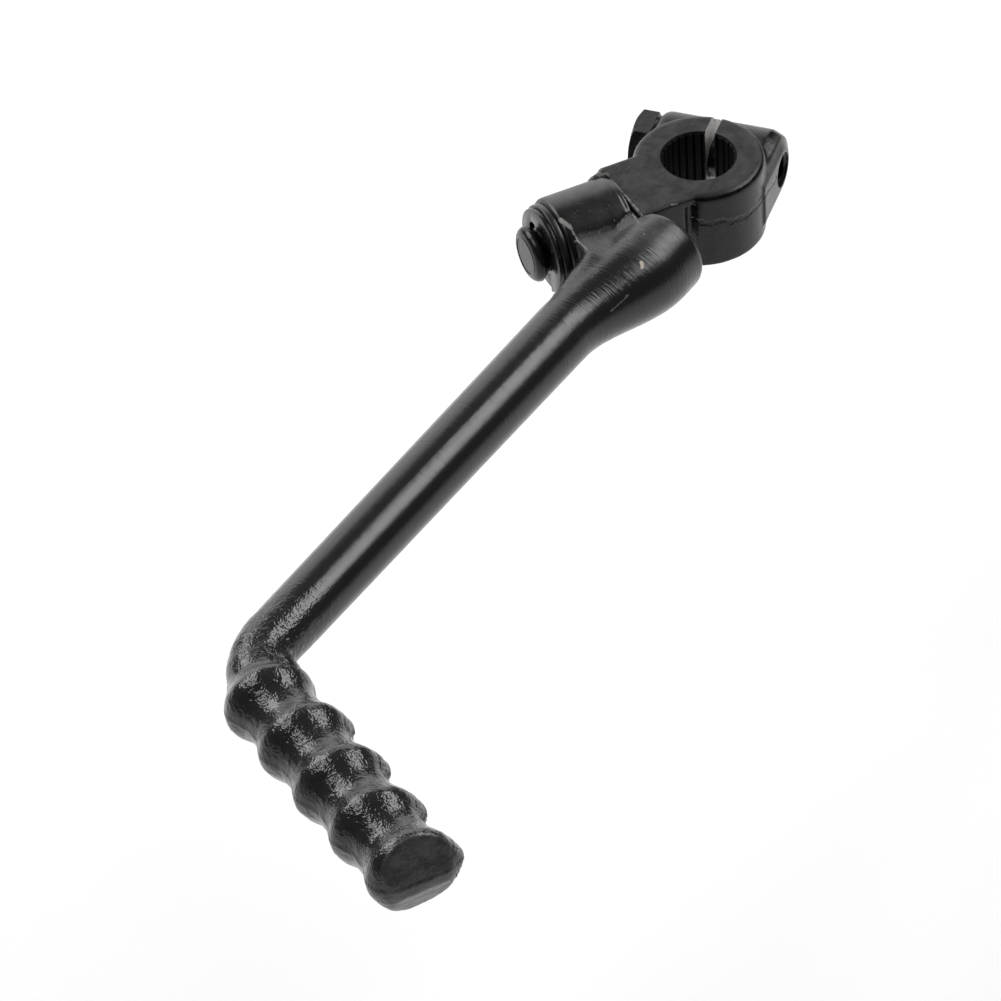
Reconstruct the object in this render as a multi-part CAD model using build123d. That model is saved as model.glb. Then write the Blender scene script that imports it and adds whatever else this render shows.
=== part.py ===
from build123d import *
import os
from math import asin, cos, degrees, pi, radians, sin, sqrt, tan

# A folding kick start lever, in millimetres, lying folded.
# Z is the axis of the kick shaft, and X runs along the pivot on which the lever folds.
# The part is drawn with the clamp boss standing on Z = 0, and saved with the middle of its bore there.

# Clamp boss
BOSS_DIA = 27.6
BOSS_HEIGHT = 18.5
BOSS_TOP_ROUND = 1.4
BOSS_FOOT_ROUND = 0.4

# Splined bore, split on one side
SPLINE_TIP_DIA = 14.9
SPLINE_DEPTH = 0.5
SPLINE_COUNT = 28
SPLINE_FLANK_ANGLE = 60.0
BORE_CHAMFER = 0.55
SLIT_WIDTH = 2.1
SLIT_DIRECTION = 225.0

# Pinch lug, a bar around the bolt
BOLT_OFFSET = 12.35
BOLT_HEIGHT = 8.05
LUG_RADIUS = 8.05
LUG_HEAD_SIDE = 13.4
LUG_THREAD_SIDE = 14.3
LUG_HEAD_ROUND = 2.6
LUG_THREAD_ROUND = 3.5

# Pinch bolt, M8
BOLT_DIA = 8.0
BOLT_PITCH = 1.25
BOLT_LENGTH = 25.0
HEAD_ACROSS_FLATS = 13.0
HEAD_HEIGHT = 4.4
HEAD_CHAMFER_ANGLE = 30.0
HEAD_FACE_THICKNESS = 0.4
BOLT_HOLE_CLEARANCE = 0.2
THREAD_CLEARANCE = 0.06
THREAD_MOUTH_CHAMFER = 0.5

# Pivot and the neck that carries it
PIVOT_OFFSET = 1.9
PIVOT_HEIGHT = 9.75
NECK_END = 19.3
NECK_STOP_SIDE = 9.75
NECK_BACK_RADIUS = 11.4
PIN_DIA = 12.0
PIN_END_ROUND = 1.6
PIN_OVERHANG = 3.5

# Sleeve of the lever on the pivot
SLEEVE_DIA = 20.6
SLEEVE_LENGTH = 15.4
SLEEVE_CHAMFER = 0.7
PIN_CLEARANCE = 0.05
SEAM_GAP = 0.3
END_PLAY = 0.1

# Washer and clip on the pivot's free end
WASHER_DIA = 19.0
WASHER_THICKNESS = 1.5
WASHER_CLEARANCE = 0.15
CLIP_DIA = 18.0
CLIP_THICKNESS = 1.1
CLIP_GROOVE_DIA = 9.0
CLIP_GROOVE_PLAY = 0.1
CLIP_MOUTH = 8.2
CLIP_RELIEF_DIA = 3.6

# Stop tongue and flare at the arm's upper end, as distances along the arm from the shaft's axis
ARM_ANGLE = 31.0
TONGUE_START = 19.8
TONGUE_DIA = 18.9
TONGUE_SHIFT = 4.2
TONGUE_END_ROUND = 1.6
TONGUE_CLEARANCE = 0.15
FLARE_START = 26.0
FLARE_END = 53.0
FLARE_SECTIONS = 5

# Arm and bend
ARM_TOP_DIA = 13.5
ARM_FOOT_DIA = 12.2
ARM_LENGTH = 164.4
BEND_RADIUS = 15.0

# Ribbed pedal, as distances along it from the corner of the bend
PEDAL_ANGLE = 96.3
RIB_DIA = 17.9
VALLEY_DIA = 14.5
RIB_COUNT = 5
RIB_PITCH = 12.9
FIRST_RIB = 9.85
RIB_LEAN = 5.0
RIB_SHARPNESS = 1.5
SECTIONS_A_RIB = 8
PEDAL_TIP_ROUND = 4.5
TIP_TURNS = (25, 50, 70, 85)

# Detent in the neck's thrust face
DETENT_RADIUS = 8.0
DETENT_ANGLE = 45.0
BALL_DIA = 3.0
BALL_RISE = 0.6
BALL_CLEARANCE = 0.05
DETENT_DEPTH = 8.0
GROOVE_CLEARANCE = 0.15
POCKET_DEEPER = 0.1
FOLD_TURN = 90.0
SPRING_WIRE = 0.4
SPRING_DIA = 2.5
SPRING_TURNS = 6

# Places that follow from the sizes above
SLEEVE_START = NECK_END + SEAM_GAP
SLEEVE_END = SLEEVE_START + SLEEVE_LENGTH
WASHER_START = SLEEVE_END + END_PLAY
CLIP_START = WASHER_START + WASHER_THICKNESS + CLIP_GROOVE_PLAY / 2
PIN_END = CLIP_START + CLIP_THICKNESS + PIN_OVERHANG
HEAD_SEAT = -LUG_HEAD_SIDE
THREAD_DEPTH = BOLT_PITCH * sqrt(3) / 2 * 5 / 8
TONGUE_FLAT = NECK_STOP_SIDE + TONGUE_CLEARANCE
BEND_TURN = PEDAL_ANGLE - ARM_ANGLE
BEND_TANGENT = BEND_RADIUS * tan(radians(BEND_TURN / 2))
PEDAL_START = min(FIRST_RIB - RIB_PITCH / 2, BEND_TANGENT)

FROM_BASE = (Align.CENTER, Align.CENTER, Align.MIN)
slit = Vector(cos(radians(SLIT_DIRECTION)), sin(radians(SLIT_DIRECTION)))
bolt_axis = slit.rotate(Axis.Z, -90)

# Frame of the pivot: local x is Y, local y is Z, local z is X.
PIVOT = Plane((0, PIVOT_OFFSET, PIVOT_HEIGHT), x_dir=(0, 1, 0), z_dir=(1, 0, 0))
# Frame of the bolt: local x points out along the slit, local y is Z, local z from head to tip.
BOLT = Plane(slit * BOLT_OFFSET + Vector(0, 0, BOLT_HEIGHT), x_dir=slit, z_dir=bolt_axis)


def arm_section(along, across):
    """Plane square to the arm, at a distance along it and shifted sideways."""
    angle = radians(ARM_ANGLE)
    forward = Vector(cos(angle), sin(angle))
    side = Vector(-sin(angle), cos(angle))
    origin = forward * along + side * across + Vector(0, 0, PIVOT_HEIGHT)
    return Plane(origin, x_dir=side, z_dir=forward)


def rod(frame, radius, start, end):
    """Cylinder along a frame's local z."""
    return frame * Pos(0, 0, start) * Cylinder(radius, end - start, align=FROM_BASE)


def boss():
    """Round body of the clamp, with softened rims."""
    body = Cylinder(BOSS_DIA / 2, BOSS_HEIGHT, align=FROM_BASE)
    rims = body.edges().filter_by(GeomType.CIRCLE).sort_by(Axis.Z)
    body = fillet(rims[-1], BOSS_TOP_ROUND)
    rims = body.edges().filter_by(GeomType.CIRCLE).sort_by(Axis.Z)
    return fillet(rims[0], BOSS_FOOT_ROUND)


def lug():
    """Bar along the bolt, round about it on the far side and running back into the boss."""
    section = Circle(LUG_RADIUS) + Pos(-BOLT_OFFSET / 2, 0) * Rectangle(BOLT_OFFSET, 2 * LUG_RADIUS)
    length = LUG_HEAD_SIDE + LUG_THREAD_SIDE
    bar = extrude(section, length)
    ends = bar.faces().sort_by(Axis.Z)
    far = [e for e in ends[-1].edges() if e.center().X > -BOLT_OFFSET + LUG_THREAD_ROUND]
    bar = fillet(far, LUG_THREAD_ROUND)
    ends = bar.faces().sort_by(Axis.Z)
    near = [e for e in ends[0].edges() if e.center().X > -BOLT_OFFSET + LUG_HEAD_ROUND]
    bar = fillet(near, LUG_HEAD_ROUND)
    return BOLT * Pos(0, 0, HEAD_SEAT) * bar


def neck():
    """Stop block between boss and pivot: round back, two square sides, and a corner rounded for the tongue."""
    top = BOSS_HEIGHT - PIVOT_HEIGHT
    side = NECK_STOP_SIDE
    top_angle = 180 - degrees(asin(top / NECK_BACK_RADIUS))
    foot_angle = 180 + degrees(asin(side / NECK_BACK_RADIUS))
    back = CenterArc((0, 0), NECK_BACK_RADIUS, foot_angle, top_angle - foot_angle)
    outline = [
        Line(back @ 1, (side, top)),
        Line((side, top), (side, 0)),
        CenterArc((0, 0), side, 0, -90),
        Line((0, -side), back @ 0),
        back,
    ]
    return PIVOT * extrude(make_face(outline), NECK_END)


def pivot_stub():
    """Turned pin on the neck, with a rounded end and the clip's groove."""
    pin = Cylinder(PIN_DIA / 2, PIN_END - NECK_END, align=FROM_BASE)
    pin = fillet(pin.edges().filter_by(GeomType.CIRCLE).sort_by(Axis.Z)[-1], PIN_END_ROUND)
    pin = PIVOT * Pos(0, 0, NECK_END) * pin
    groove_start = CLIP_START - CLIP_GROOVE_PLAY / 2
    groove_end = CLIP_START + CLIP_THICKNESS + CLIP_GROOVE_PLAY / 2
    groove = rod(PIVOT, PIN_DIA, groove_start, groove_end)
    groove -= rod(PIVOT, CLIP_GROOVE_DIA / 2, groove_start, groove_end)
    return pin - groove


def splined_bore():
    """Space of the bore: tip cylinder, a groove between each two splines, and chamfered mouths."""
    tip = SPLINE_TIP_DIA / 2
    space = Cylinder(tip, BOSS_HEIGHT, align=FROM_BASE)
    half_width = (SPLINE_DEPTH + tip / 4) * tan(radians(SPLINE_FLANK_ANGLE / 2))
    corners = [(tip + SPLINE_DEPTH, 0), (tip * 3 / 4, half_width), (tip * 3 / 4, -half_width)]
    groove = make_face(Polyline(corners, close=True))
    for k in range(SPLINE_COUNT):
        turn = SLIT_DIRECTION + k * 360 / SPLINE_COUNT
        space += Rot(0, 0, turn) * extrude(groove, BOSS_HEIGHT)
    mouth = Cone(tip + BORE_CHAMFER, tip, BORE_CHAMFER, align=FROM_BASE)
    space += mouth
    space += Pos(0, 0, BOSS_HEIGHT) * Rot(180, 0, 0) * mouth
    return space


def slit_space():
    """Space of the saw cut, from the bore's axis out through the lug."""
    reach = BOLT_OFFSET + LUG_RADIUS + BOSS_DIA
    cut = Box(reach, SLIT_WIDTH, 3 * BOSS_HEIGHT, align=(Align.MIN, Align.CENTER, Align.CENTER))
    return Pos(0, 0, BOSS_HEIGHT / 2) * Rot(0, 0, SLIT_DIRECTION) * cut


def thread_body(start, end, grow):
    """Threaded rod as rings at the thread's pitch, grown all round for the hole that takes it."""
    crest = BOLT_DIA / 2 + grow
    root = crest - THREAD_DEPTH
    turns = int((end - start) / BOLT_PITCH)
    points = [(0, start), (root, start)]
    for k in range(turns):
        points.append((crest, start + (k + 0.5) * BOLT_PITCH))
        points.append((root, start + (k + 1) * BOLT_PITCH))
    points += [(root, end), (0, end)]
    return revolve(Plane.XZ * make_face(Polyline(points, close=True)), Axis.Z)


def bolt_hole():
    """Space of the clearance hole under the head and of the threaded hole beyond the slit."""
    radius = BOLT_DIA / 2 + BOLT_HOLE_CLEARANCE
    core = BOLT_DIA / 2 - THREAD_DEPTH + THREAD_CLEARANCE
    thread_start = SLIT_WIDTH / 2
    space = rod(BOLT, radius, HEAD_SEAT, thread_start)
    space += BOLT * thread_body(thread_start, LUG_THREAD_SIDE, THREAD_CLEARANCE)
    mouth = Cone(core, core + THREAD_MOUTH_CHAMFER, THREAD_MOUTH_CHAMFER, align=FROM_BASE)
    return space + BOLT * Pos(0, 0, LUG_THREAD_SIDE - THREAD_MOUTH_CHAMFER) * mouth


def detent_frame(turn=0):
    """Frame at the detent's place round the pivot, with local z along it."""
    angle = radians(DETENT_ANGLE + turn)
    return PIVOT * Pos(DETENT_RADIUS * cos(angle), DETENT_RADIUS * sin(angle), 0)


def knuckle():
    body = boss() + lug() + neck() + pivot_stub()
    body -= splined_bore()
    body -= slit_space()
    body -= bolt_hole()
    to_top = (Align.CENTER, Align.CENTER, Align.MAX)
    hole = Cylinder(BALL_DIA / 2 + BALL_CLEARANCE, DETENT_DEPTH, align=to_top)
    return body - detent_frame() * Pos(0, 0, NECK_END) * hole


def pinch_bolt():
    flat = HEAD_ACROSS_FLATS / 2
    corner = flat / cos(pi / 6)
    height = HEAD_HEIGHT - HEAD_FACE_THICKNESS
    hexagon = extrude(RegularPolygon(flat, 6, major_radius=False), height)
    drop = (corner - flat) * tan(radians(HEAD_CHAMFER_ANGLE))
    turned = Polyline((0, 0), (corner, 0), (corner, height - drop), (flat, height), (0, height), close=True)
    head = hexagon & revolve(Plane.XZ * make_face(turned), Axis.Z)
    head = Pos(0, 0, -HEAD_FACE_THICKNESS) * Rot(180, 0, 0) * head
    head += Cylinder(flat, HEAD_FACE_THICKNESS, align=(Align.CENTER, Align.CENTER, Align.MAX))
    thread_start = LUG_HEAD_SIDE + SLIT_WIDTH / 2
    shank = Cylinder(BOLT_DIA / 2, thread_start, align=FROM_BASE)
    thread = thread_body(thread_start, BOLT_LENGTH, 0)
    return BOLT * Pos(0, 0, HEAD_SEAT) * (head + shank + thread)


def sleeve():
    """Round eye of the lever on the pivot."""
    body = Cylinder(SLEEVE_DIA / 2, SLEEVE_LENGTH, align=FROM_BASE)
    body = chamfer(body.edges().filter_by(GeomType.CIRCLE), SLEEVE_CHAMFER)
    return PIVOT * Pos(0, 0, SLEEVE_START) * body


def tongue():
    """Thick upper end of the arm, which passes beside the neck."""
    body = Cylinder(TONGUE_DIA / 2, FLARE_START - TONGUE_START, align=FROM_BASE)
    body = fillet(body.edges().filter_by(GeomType.CIRCLE).sort_by(Axis.Z)[0], TONGUE_END_ROUND)
    return arm_section(TONGUE_START, TONGUE_SHIFT) * body


def flare():
    """Smooth run from the thick, shifted tongue down to the straight arm."""
    sections = []
    for k in range(FLARE_SECTIONS):
        part = k / (FLARE_SECTIONS - 1)
        ease = part * part * (3 - 2 * part)
        along = FLARE_START + part * (FLARE_END - FLARE_START)
        radius = (TONGUE_DIA + ease * (ARM_TOP_DIA - TONGUE_DIA)) / 2
        sections.append(arm_section(along, TONGUE_SHIFT * (1 - ease)) * Circle(radius))
    return loft(sections)


def arm_and_bend():
    """Straight arm, and the bend as far as the pedal's first ring."""
    bend_start = ARM_LENGTH - BEND_TANGENT
    shaft = Cone(ARM_TOP_DIA / 2, ARM_FOOT_DIA / 2, bend_start - FLARE_END, align=FROM_BASE)
    shaft = arm_section(FLARE_END, 0) * shaft
    centre = arm_section(bend_start, BEND_RADIUS).origin
    turn = BEND_TURN - degrees((BEND_TANGENT - PEDAL_START) / BEND_RADIUS)
    bend = revolve(arm_section(bend_start, 0) * Circle(ARM_FOOT_DIA / 2), Axis(centre, (0, 0, 1)), turn)
    return shaft + bend


def pedal_section(along):
    """Plane of a ring of the pedal, which follows the bend first and then leans a little on the pedal."""
    heading = radians(PEDAL_ANGLE) - max(BEND_TANGENT - along, 0) / BEND_RADIUS
    forward = Vector(cos(heading), sin(heading))
    centre = arm_section(ARM_LENGTH - BEND_TANGENT, BEND_RADIUS).origin
    outward = Vector(sin(heading), -cos(heading))
    origin = centre + outward * BEND_RADIUS + forward * max(along - BEND_TANGENT, 0)
    grown = min((along - PEDAL_START) / (FIRST_RIB - PEDAL_START), 1)
    facing = heading - radians(RIB_LEAN) * grown
    return Plane(origin, x_dir=(-sin(facing), cos(facing), 0), z_dir=(cos(facing), sin(facing), 0))


def pedal_radius(along):
    """Radius of a ring: swelling from the arm's foot to the first rib, and in waves beyond it."""
    wave = ((1 + cos(2 * pi * (along - FIRST_RIB) / RIB_PITCH)) / 2) ** RIB_SHARPNESS
    foot = ARM_FOOT_DIA if along < FIRST_RIB else VALLEY_DIA
    return (foot + (RIB_DIA - foot) * wave) / 2


def pedal():
    """Ribs along the pedal and a rounded tip, as one skin over rings."""
    last = FIRST_RIB + (RIB_COUNT - 1) * RIB_PITCH
    count = round((last - PEDAL_START) / RIB_PITCH * SECTIONS_A_RIB)
    rings = []
    for k in range(count + 1):
        along = PEDAL_START + (last - PEDAL_START) * k / count
        rings.append(pedal_section(along) * Circle(pedal_radius(along)))
    for turn in TIP_TURNS:
        along = last + PEDAL_TIP_ROUND * sin(radians(turn))
        radius = RIB_DIA / 2 - PEDAL_TIP_ROUND * (1 - cos(radians(turn)))
        rings.append(pedal_section(along) * Circle(radius))
    return loft(rings)


def detent_track():
    """Space that the ball rides in on the sleeve's end face: an arc with a pocket at each end."""
    centre = NECK_END + BALL_RISE - BALL_DIA / 2
    radius = BALL_DIA / 2 + GROOVE_CLEARANCE
    section = detent_frame() * Pos(0, 0, centre) * Rot(0, 0, DETENT_ANGLE) * Rot(90, 0, 0) * Circle(radius)
    track = revolve(section, Axis((0, PIVOT_OFFSET, PIVOT_HEIGHT), (1, 0, 0)), FOLD_TURN)
    for turn in (0, FOLD_TURN):
        track += detent_frame(turn) * Pos(0, 0, centre) * Sphere(radius + POCKET_DEEPER)
    return track


def lever_arm():
    body = tongue() + flare() + arm_and_bend() + pedal() + sleeve()
    body -= rod(PIVOT, PIN_DIA / 2 + PIN_CLEARANCE, 0, PIN_END)
    reach = TONGUE_DIA + SLEEVE_DIA
    beside_neck = Box(SLEEVE_START, reach, 2 * reach, align=(Align.MIN, Align.MAX, Align.CENTER))
    body -= Pos(0, PIVOT_OFFSET + TONGUE_FLAT, PIVOT_HEIGHT) * beside_neck
    return body - detent_track()


def thrust_washer():
    ring = Circle(WASHER_DIA / 2) - Circle(PIN_DIA / 2 + WASHER_CLEARANCE)
    return PIVOT * Pos(0, 0, WASHER_START) * extrude(ring, WASHER_THICKNESS)


def retaining_clip():
    """E-shaped clip: open at the foot, gripping the groove on three lobes."""
    seat = CLIP_GROOVE_DIA / 2 + CLIP_GROOVE_PLAY / 2
    flat = Circle(CLIP_DIA / 2) - Circle(seat)
    flat -= Pos(0, -CLIP_DIA / 2) * Rectangle(CLIP_MOUTH, CLIP_DIA)
    for side in (-1, 1):
        flat -= Pos(side * seat * cos(pi / 4), seat * sin(pi / 4)) * Circle(CLIP_RELIEF_DIA / 2)
    return PIVOT * Pos(0, 0, CLIP_START) * extrude(flat, CLIP_THICKNESS)


def detent_ball():
    return detent_frame() * Pos(0, 0, NECK_END + BALL_RISE - BALL_DIA / 2) * Sphere(BALL_DIA / 2)


def detent_spring():
    """Coil between the hole's end and the back of the ball."""
    coil_radius = (SPRING_DIA - SPRING_WIRE) / 2
    start = NECK_END - DETENT_DEPTH + SPRING_WIRE / 2
    ball_centre = NECK_END + BALL_RISE - BALL_DIA / 2
    contact = sqrt((BALL_DIA / 2 + SPRING_WIRE / 2) ** 2 - coil_radius ** 2)
    height = ball_centre - contact - start
    path = Helix(height / SPRING_TURNS, height, coil_radius)
    wire = Plane(path @ 0, z_dir=path % 0) * Circle(SPRING_WIRE / 2)
    return detent_frame() * Pos(0, 0, start) * sweep(wire, path, is_frenet=True)


NODES = {
    "knuckle": knuckle,
    "lever_arm": lever_arm,
    "pinch_bolt": pinch_bolt,
    "thrust_washer": thrust_washer,
    "retaining_clip": retaining_clip,
    "detent_ball": detent_ball,
    "detent_spring": detent_spring,
}

TO_BORE_MIDDLE = Pos(0, 0, -BOSS_HEIGHT / 2)

os.makedirs("parts", exist_ok=True)
for name, make in NODES.items():
    export_step(TO_BORE_MIDDLE * make(), f"parts/{name}.step")
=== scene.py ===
from math import cos, degrees, pi, radians, sin, tan

import bmesh
import bpy
from mathutils import Matrix, Quaternion, Vector


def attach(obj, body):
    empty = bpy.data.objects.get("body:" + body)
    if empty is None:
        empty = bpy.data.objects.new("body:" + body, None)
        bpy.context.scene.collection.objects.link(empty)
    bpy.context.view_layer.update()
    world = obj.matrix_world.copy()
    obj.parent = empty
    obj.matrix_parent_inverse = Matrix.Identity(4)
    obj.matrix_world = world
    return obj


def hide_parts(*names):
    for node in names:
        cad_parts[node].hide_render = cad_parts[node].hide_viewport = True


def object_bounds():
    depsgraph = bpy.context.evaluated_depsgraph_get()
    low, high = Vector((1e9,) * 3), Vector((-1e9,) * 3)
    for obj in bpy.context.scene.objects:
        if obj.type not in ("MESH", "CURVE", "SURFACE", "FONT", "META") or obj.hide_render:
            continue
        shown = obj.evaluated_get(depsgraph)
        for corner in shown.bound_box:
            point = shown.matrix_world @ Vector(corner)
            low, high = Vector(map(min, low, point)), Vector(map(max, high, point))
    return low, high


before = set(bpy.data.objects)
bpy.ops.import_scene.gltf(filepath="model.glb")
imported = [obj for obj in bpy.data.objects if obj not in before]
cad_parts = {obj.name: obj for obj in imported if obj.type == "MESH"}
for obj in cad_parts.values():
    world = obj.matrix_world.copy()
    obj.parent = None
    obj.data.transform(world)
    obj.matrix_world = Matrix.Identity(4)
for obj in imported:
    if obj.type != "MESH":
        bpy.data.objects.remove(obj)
cad_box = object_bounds()

# Sizes are in millimetres, as in the drawing of the lever; Blender works in metres.
MM = 0.001

# Clamp boss, lug and neck
BOSS_RADIUS = 13.8
BOSS_HALF = 9.25
SLIT_DIRECTION = 225.0
SLIT_WIDTH = 2.1
SPLINE_TIP = 7.45
SPLINE_ROOT = 7.95
SPLINES = 28
BORE_CHAMFER = 0.55
BOLT_OFFSET = 12.35
BOLT_Z = -1.2
LUG_RADIUS = 8.05
LUG_HEAD_SIDE = 13.4
LUG_THREAD_SIDE = 14.3
LUG_THREAD_CHAMFER = 3.5
LUG_HEAD_ROUND = 2.4
LUG_INNER = 3.0
BOSS_TOP_ROUND = 1.4
BOSS_FOOT_ROUND = 0.5

# Pinch bolt
BOLT_RADIUS = 4.0
BOLT_TIP = 11.6
BOLT_ROOM = 0.2
HEAD_FLAT = 6.5
HEAD_TOP = 4.4
HEAD_FOOT = 0.4
FLANGE_RADIUS = 6.4
FLANGE_TOP = 0.6
THREAD_PITCH = 1.25
THREAD_ROOT = 3.32
THREAD_START = 1.0
THREAD_ROOM = 0.06

# Pivot: it runs along X at this Y and Z
PIVOT_Y = 1.9
PIVOT_Z = 0.5
NECK_END = 19.3
NECK_OVERLAP = 2.0
NECK_SIDE = 9.75
NECK_BACK = 12.0
PIN_RADIUS = 6.0
PIN_END = 41.25
STUB_ROOT = 1.5
STUB_ROUND = 1.6
MARK_INSET = 0.9
MARK_WIDTH = 0.25
MARK_DEPTH = 0.12
GROOVE = (36.6, 37.8, 4.5)
GROOVE_WALL = 0.02
SLEEVE_START = 19.6
SLEEVE_END = 35.0
SLEEVE_RADIUS = 10.3
SLEEVE_ROUND = 0.7
SEAM_ROOM = 0.15
PIN_ROOM = 0.05
TONGUE_FLAT = 9.9

# Detent: circle of the ball's path, its hole in the neck and its groove in the sleeve
DETENT_RADIUS = 8.0
BALL_ANGLE = radians(45.0)
BALL_HOLE_RADIUS = 1.55
BALL_HOLE_DEPTH = 8.0
BALL_GROOVE_RADIUS = 1.65
BALL_GROOVE_SINK = 0.9

# Lip on the neck's back: sector of a cone over the sleeve, with a slanted lower end
LIP_START = NECK_END - 1.3
LIP_END = NECK_END + 2.8
LIP_END_RADIUS = 10.95
LIP_ROOM = 0.2
LIP_ROUND = 0.15
LIP_MIDDLE = Vector((0, -0.714, 0.7))
LIP_ACROSS = Vector((0, 0.7, 0.714))
LIP_HALF = radians(38.0)
LIP_SLANT = 0.9

# Arm, bend and pedal
ARM_ANGLE = radians(31.0)
TONGUE_START = 19.8
TONGUE_RADIUS = 9.45
TONGUE_SHIFT = 4.2
TONGUE_ROUND = 1.6
FLARE_START = 26.0
FLARE_END = 53.0
ARM_TOP_RADIUS = 6.75
ARM_FOOT_RADIUS = 6.1
ARM_LENGTH = 164.4
BEND_RADIUS = 15.0
PEDAL_ANGLE = radians(96.3)
BEND_TURN = PEDAL_ANGLE - ARM_ANGLE
BEND_TANGENT = BEND_RADIUS * tan(BEND_TURN / 2)
RIB_RADIUS = 8.95
VALLEY_RADIUS = 7.25
RIB_PITCH = 12.9
FIRST_RIB = 9.85
LAST_RIB = FIRST_RIB + 4 * RIB_PITCH
RIB_LEAN = radians(5.0)
RIB_SHARPNESS = 1.5
TIP_ROUND = 4.5
PEDAL_START = FIRST_RIB - RIB_PITCH / 2

# Web between sleeve and tongue: two blocks, each sliced at planes of a point and a normal
WEB_OUTER_CORNER = (33.4, 17.5, 9.6)
WEB_OUTER_TOP = Vector((30.0, 12.0, 7.72)), Vector((-0.051, -0.139, 1.0))
WEB_OUTER_END = Vector((33.4, 14.3, 0.0)), Vector((0.52, 0.85, 0.0))
WEB_INNER_CORNER = (28.0, 17.5, 9.6)
WEB_INNER_TOP = Vector((SLEEVE_START, 9.0, 9.1)), Vector((0.38, -0.1, 1.0))
WEB_STEP = Vector((32.6, 16.2, 7.2))
WEB_CROTCH_START = Vector((33.0, 15.0, 7.6))
WEB_CROTCH_RUN = Vector((-11.5, 1.4, 2.0))

# Gusset along the arm: places as distance along the arm, across it and above it
GUSSET_RADIUS = 4.0
GUSSET_START = (34.9, -2.2, 4.4)
GUSSET_END = (47.0, -2.35, 1.8)
GUSSET_RUNOUT = (44.0, -5.0, 4.0)

# Fill on the inside of the bend: how far round the bend, distance from its centre, and radius
FILL_TURN = 0.62
FILL_DISTANCE = 11.6
FILL_RADIUS = 5.0
FILL_SOFT_SIDE = 7.5

# Crevice between the neck's side and the boss: pressed in by steps, each over a shorter span of X
CREVICE_SPANS = ((6.8, 9.4), (7.0, 9.0), (7.2, 8.7), (7.4, 8.4))
CREVICE_STEP = 0.18
CREVICE_TOP = 7.6

# Flash line of the forging on the boss: angle about the bore, and height
FLASH_LINE = ((57, 3.4), (66, 2.7), (73, 2.2), (84, 2.6), (92, 1.2), (99, 1.3), (108, 0.9), (117, 1.2),
              (126, 1.0), (133, 1.5), (142, 1.4), (151, 2.1))

FLASH_STEP = 0.16

# Parting line of the forging round the pedal, and the slopes of the tip's face above and below it
PARTING_Z = 0.9
TIP_SLOPE = radians(24.0)
TIP_UNDERCUT = radians(24.0)
TIP_DROP = 2.2

# Steps that round the sleeve's edge at the seam, and raise the flash on the ribs
SEAM_REACHES = (1.1, 0.6)
SEAM_STEP = 0.25
RIB_FLASH_REACHES = (3.4, 2.6, 1.8, 1.1, 0.5)
RIB_FLASH_STEP = 0.17
PARTING_HEIGHT = 0.14
UNDERSIDE_HEIGHT = 0.1

# Skin of the casting on the pedal: size and depth of its lumps and of its peel
LUMPS = (4.2, 0.28)
PEEL = (1.2, 0.12)

# Fineness of the melted forgings
KNUCKLE_VOXEL = 0.3
LEVER_VOXEL = 0.42
SLIVER = 0.001
DOUBLES = 0.002

# How far the cutting tools reach past the pieces
CUT_REACH = 40.0

slit = Vector((cos(radians(SLIT_DIRECTION)), sin(radians(SLIT_DIRECTION)), 0))
bolt_axis = Vector((slit.y, -slit.x, 0))
bolt_middle = slit * BOLT_OFFSET + Vector((0, 0, BOLT_Z))
arm_forward = Vector((cos(ARM_ANGLE), sin(ARM_ANGLE), 0))
arm_side = Vector((-sin(ARM_ANGLE), cos(ARM_ANGLE), 0))
pivot_middle = Vector((0, PIVOT_Y, PIVOT_Z))
X_AXIS = Vector((1, 0, 0))
Z_AXIS = Vector((0, 0, 1))


# Modelling by hand, one step at a time

def clear_selection():
    """Leave edit mode and select nothing."""
    if bpy.context.object and bpy.context.object.mode != "OBJECT":
        bpy.ops.object.mode_set(mode="OBJECT")
    bpy.ops.object.select_all(action="DESELECT")


def take(piece):
    """Make one piece the only selected and the active one."""
    clear_selection()
    piece.select_set(True)
    bpy.context.view_layer.objects.active = piece


def settle(name):
    """Name the piece just added, and put its place into its mesh."""
    bpy.ops.object.transform_apply(location=True, rotation=True, scale=True)
    piece = bpy.context.object
    piece.name = name
    piece.data.name = name
    return piece


def bar(name, start, end, radius, sides=96, twist=0.0):
    """Bar between two points, twisted about its own length."""
    clear_selection()
    run = end - start
    facing = run.to_track_quat("Z", "Y") @ Quaternion((0, 0, 1), twist)
    bpy.ops.mesh.primitive_cylinder_add(
        vertices=sides, radius=radius * MM, depth=run.length * MM,
        location=(start + end) / 2 * MM, rotation=facing.to_euler())
    return settle(name)


def block(name, low, high, turn=0.0, about=Vector((0, 0, 0))):
    """Box between two corners, turned about the upright through a point."""
    clear_selection()
    low, high = Vector(low), Vector(high)
    middle = Matrix.Rotation(turn, 3, "Z") @ ((low + high) / 2) + about
    bpy.ops.mesh.primitive_cube_add(
        size=1, location=middle * MM, rotation=(0, 0, turn), scale=(high - low) * MM)
    return settle(name)


def pick(piece, kind, test):
    """In edit mode, select the vertices, edges or faces that a test of their middle and normal accepts."""
    take(piece)
    bpy.ops.object.mode_set(mode="EDIT")
    bpy.ops.mesh.select_mode(type=kind)
    bpy.ops.mesh.select_all(action="DESELECT")
    mesh = bmesh.from_edit_mesh(piece.data)
    mesh.normal_update()
    if kind == "VERT":
        for v in mesh.verts:
            v.select = test(v.co / MM, v.normal)
    elif kind == "EDGE":
        for e in mesh.edges:
            start, end = e.verts[0].co, e.verts[1].co
            e.select = test((start + end) / 2 / MM, (end - start).normalized())
    else:
        for f in mesh.faces:
            f.select = test(f.calc_center_median() / MM, f.normal)
    mesh.select_flush_mode()
    bmesh.update_edit_mesh(piece.data)


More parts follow.
